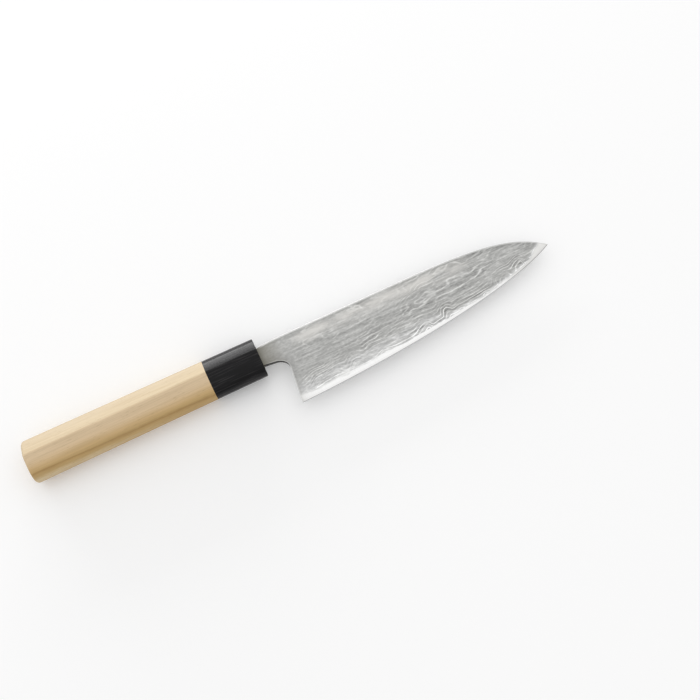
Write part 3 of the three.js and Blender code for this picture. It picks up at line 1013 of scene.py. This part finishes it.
ho_wood, tree, wood_shader = new_material("sanded_ho_wood")
place = add_node(tree, "TexCoord")["Object"]
across = Vector((-STREAK_SLANT, -1, STREAK_LEAN)) / MM
middle = across.dot(Vector((BUTT_X, AXIS.y, AXIS.z)))
growth = add_node(tree, "VectorMath", {0: place, 1: across}, operation="DOT_PRODUCT")["Value"]
growth = add_node(tree, "Math", {0: growth, 1: middle}, operation="SUBTRACT")["Value"]
for size, reach in WANDER:
    spot = add_node(tree, "VectorMath", {0: place, 1: per_feature(*size)}, operation="MULTIPLY")["Vector"]
    wander = add_node(tree, "TexNoise", {"Vector": spot, "Scale": 1, "Detail": 2})["Fac"]
    wander = add_node(tree, "Math", {0: wander, 1: 0.5}, operation="SUBTRACT")["Value"]
    growth = add_node(tree, "Math", {0: wander, 1: reach, 2: growth}, operation="MULTIPLY_ADD")["Value"]
tone = add_node(tree, "MapRange", {
    "Value": growth, "From Min": GROWTH_FROM, "From Max": GROWTH_TO,
})["Result"]
tone = add_node(tree, "ValToRGB", {"Fac": tone}, stops=ramp_stops(GROWTH_AND_PAINTED_SHADE, GROWTH_FROM, GROWTH_TO))["Color"]
print("streak at", STREAK_AT, "mm across the growth layers from the handle's axis")

# %% [markdown]
# ### End grain
# The butt is cut across the fibres. Their open ends trap light, so it is a shade darker than the sides
# and shows the growth rings as arcs round the middle of the tree, the pith, which was below the
# handle. The distance from the pith, cut into ring widths, draws them, and the way a face points picks
# out the butt.

# %% End grain
RING_WIDTH = 1.8
RING_SWAY = 1.2
SWAY_SIZE = (60, 6, 6)
RING = [(0, "#C3A77B"), (0.3, "#D0B68D"), (0.8, "#CBB087"), (1, "#C3A77B")]
PITH = Vector((0, AXIS.y - 38 * MM, AXIS.z + 10 * MM))

from_pith = add_node(tree, "VectorMath", {
    0: place, 1: Vector((0, 1, 1)) / MM, 2: -PITH / MM,
}, operation="MULTIPLY_ADD")["Vector"]
ring = add_node(tree, "VectorMath", {0: from_pith}, operation="LENGTH")["Value"]
spot = add_node(tree, "VectorMath", {0: place, 1: per_feature(*SWAY_SIZE)}, operation="MULTIPLY")["Vector"]
sway = add_node(tree, "TexNoise", {"Vector": spot, "Scale": 1, "Detail": 1})["Fac"]
ring = add_node(tree, "Math", {0: sway, 1: RING_SWAY, 2: ring}, operation="MULTIPLY_ADD")["Value"]
ring = add_node(tree, "Math", {0: ring, 1: RING_WIDTH}, operation="DIVIDE")["Value"]
ring = add_node(tree, "Math", {0: ring}, operation="FRACT")["Value"]
end_grain = add_node(tree, "ValToRGB", {"Fac": ring}, stops=ramp_stops(RING))["Color"]
normal = add_node(tree, "TexCoord")["Normal"]
butt = add_node(tree, "SeparateXYZ", {"Vector": normal})["X"]
butt = add_node(tree, "MapRange", {"Value": butt, "From Min": -0.75, "From Max": -0.97})["Result"]
tone = add_node(tree, "Mix", {FACTOR: butt, FIRST: tone, SECOND: end_grain}, data_type="RGBA")[MIXED]
print("rings on the butt are", RING_WIDTH, "mm apart")

# %% [markdown]
# ### Fibres and pores
# Fibres run along the whole stick as faint darker lines, and pores are short darker dashes between
# them. Each is noise drawn out along the grain and mixed over the tone. Sandpaper leaves both a little
# lower than the wood between them, so the same noise also drives a bump.

# %% Fibres and pores
# Each row has a size, the noise's detail, the part of it that shows, and a colour. Real fibres and
# pores are 0.1 mm wide or less. They are drawn several times as wide, to show.
GRAIN = [
    ((30, 0.7, 0.7), 3, (0.4, 0.7), "#B2966A"),
    ((4, 0.35, 0.35), 1, (0.64, 0.76), "#8F7448"),
]
GRAIN_SHARE = 0.3
GRAIN_DEPTH = 0.06 * MM
GRAIN_STRENGTH = 0.25
WOOD_ROUGHNESS = 0.62

grain = []
for size, detail, (start, end), colour in GRAIN:
    spot = add_node(tree, "VectorMath", {0: place, 1: per_feature(*size)}, operation="MULTIPLY")["Vector"]
    fibre = add_node(tree, "TexNoise", {"Vector": spot, "Scale": 1, "Detail": detail})["Fac"]
    fibre = add_node(tree, "MapRange", {
        "Value": fibre, "From Min": start, "From Max": end, "To Max": GRAIN_SHARE,
    })["Result"]
    tone = add_node(tree, "Mix", {
        FACTOR: fibre, FIRST: tone, SECOND: srgb(colour),
    }, data_type="RGBA")[MIXED]
    grain.append(fibre)
tree.links.new(tone, wood_shader.inputs["Base Color"])
wood_shader.inputs["Roughness"].default_value = WOOD_ROUGHNESS
furrow = add_node(tree, "Math", {0: grain[0], 1: grain[1]}, operation="ADD")["Value"]
furrow = add_node(tree, "Bump", {
    "Height": furrow, "Strength": GRAIN_STRENGTH, "Distance": GRAIN_DEPTH,
}, invert=True)["Normal"]
tree.links.new(furrow, wood_shader.inputs["Normal"])
dress(handle, ho_wood, "handle")
print("handle dressed")

# %% [markdown]
# ## Buffalo horn
# Water buffalo horn is black-brown and lightly polished. It grows in fibres along the horn, which show
# as faint greyish streaks along the ferrule, so one noise drawn out along it gives both colour and
# gloss. The gloss is softer than that of plastic, because the fibres take the polish unevenly.

# %% Horn
# Real fibres are finer than 1 mm. They are drawn this wide to show.
HORN_FIBRE_SIZE = (24, 1, 1)
HORN = [(0.38, "#070708"), (0.52, "#0D0C0E"), (0.7, "#302E2F")]
HORN_SMOOTH, HORN_ROUGH = 0.2, 0.3
HORN_SPECULAR = 0.23

horn, tree, horn_shader = new_material("polished_buffalo_horn")
place = add_node(tree, "TexCoord")["Object"]
spot = add_node(
    tree, "VectorMath", {0: place, 1: per_feature(*HORN_FIBRE_SIZE)}, operation="MULTIPLY"
)["Vector"]
fibre = add_node(tree, "TexNoise", {"Vector": spot, "Scale": 1, "Detail": 4})["Fac"]
tone = add_node(tree, "ValToRGB", {"Fac": fibre}, stops=ramp_stops(HORN))["Color"]
tree.links.new(tone, horn_shader.inputs["Base Color"])
gloss = add_node(tree, "MapRange", {
    "Value": fibre, "From Min": 0.3, "From Max": 0.7, "To Min": HORN_SMOOTH, "To Max": HORN_ROUGH,
})["Result"]
tree.links.new(gloss, horn_shader.inputs["Roughness"])
horn_shader.inputs["Specular IOR Level"].default_value = HORN_SPECULAR
dress(ferrule, horn, "ferrule")
print("ferrule dressed")

# %% [markdown]
# ## Resin
# The bead is a dull olive-grey resin. It was filled by hand, so its colour is a little uneven: a soft
# noise of about the width of the bead is enough for that.

# %% Resin
SPECK_SIZE = (1.5, 1.5, 1.5)
RESIN = [(0.3, "#5E5A4B"), (0.7, "#787363")]
RESIN_ROUGHNESS = 0.5

resin, tree, resin_shader = new_material("filled_resin")
place = add_node(tree, "TexCoord")["Object"]
spot = add_node(
    tree, "VectorMath", {0: place, 1: per_feature(*SPECK_SIZE)}, operation="MULTIPLY"
)["Vector"]
speck = add_node(tree, "TexNoise", {"Vector": spot, "Scale": 1, "Detail": 3})["Fac"]
tone = add_node(tree, "ValToRGB", {"Fac": speck}, stops=ramp_stops(RESIN))["Color"]
tree.links.new(tone, resin_shader.inputs["Base Color"])
resin_shader.inputs["Roughness"].default_value = RESIN_ROUGHNESS
dress(bead, resin, "tang_seal")
print("bead dressed")

# %% [markdown]
# ## The studio
# A white table fills the view, and a soft pale light comes from all round, brighter from behind the
# spine, where a wide low panel stands. The table is lifted a little for the camera and for reflections
# alone, so that it reads as white, lights nothing and still keeps the knife's shadow.

# %% Table
TABLE_SIZE = 6
TABLE_LIFT = 0.1
PAPER_ROUGHNESS = 0.9

bpy.ops.object.select_all(action="DESELECT")
bpy.ops.mesh.primitive_plane_add(size=TABLE_SIZE, location=(0, 0, CAD_BOX[0][2]))
table = bpy.context.active_object
table.name = "table"
paper, tree, paper_shader = new_material("white_paper")
paper_shader.inputs["Base Color"].default_value = srgb("#F8F8F8")
paper_shader.inputs["Roughness"].default_value = PAPER_ROUGHNESS
paper_shader.inputs["Specular IOR Level"].default_value = 0
paper_shader.inputs["Emission Color"].default_value = srgb("#FFFFFF")
ray = add_node(tree, "LightPath")
seen = ray["Is Camera Ray"]
for kind in ("Is Glossy Ray", "Is Transmission Ray"):
    seen = add_node(tree, "Math", {0: seen, 1: ray[kind]}, operation="MAXIMUM")["Value"]
lift = add_node(tree, "Math", {0: seen, 1: TABLE_LIFT}, operation="MULTIPLY")["Value"]
tree.links.new(lift, paper_shader.inputs["Emission Strength"])
table.data.materials.append(paper)
print("table is", TABLE_SIZE, "m wide")

# %% Light
WORLD_MIDDLE = 0.75
WORLD_SWING = 0.35
WORLD_HEIGHT = math.radians(30)
WORLD_TOWARDS = (0, math.cos(WORLD_HEIGHT), math.sin(WORLD_HEIGHT))
PANEL_PLACE = Vector((0.02, 1.35, 0.16))
PANEL_SIZE = (1.3, 0.3)
PANEL_POWER = 10.5

world = bpy.data.worlds.new("soft_studio")
world.use_nodes = True
bpy.context.scene.world = world
tree = world.node_tree
direction = add_node(tree, "TexCoord")["Generated"]
facing = add_node(tree, "VectorMath", {0: direction, 1: WORLD_TOWARDS}, operation="DOT_PRODUCT")["Value"]
level = add_node(tree, "Math", {
    0: facing, 1: WORLD_SWING, 2: WORLD_MIDDLE,
}, operation="MULTIPLY_ADD")["Value"]
tree.links.new(level, tree.nodes["Background"].inputs["Strength"])
tree.nodes["Background"].inputs["Color"].default_value = srgb("#FFFFFF")

panel_data = bpy.data.lights.new("panel", "AREA")
panel_data.shape = "RECTANGLE"
panel_data.size, panel_data.size_y = PANEL_SIZE
panel_data.energy = PANEL_POWER
panel = bpy.data.objects.new("panel", panel_data)
panel.location = PANEL_PLACE
panel.rotation_euler = (-PANEL_PLACE).to_track_quat("-Z", "Y").to_euler()
bpy.context.scene.collection.objects.link(panel)
bpy.context.scene.view_settings.view_transform = "Standard"
print("panel of", PANEL_POWER, "W at", round(PANEL_PLACE.length, 2), "m")
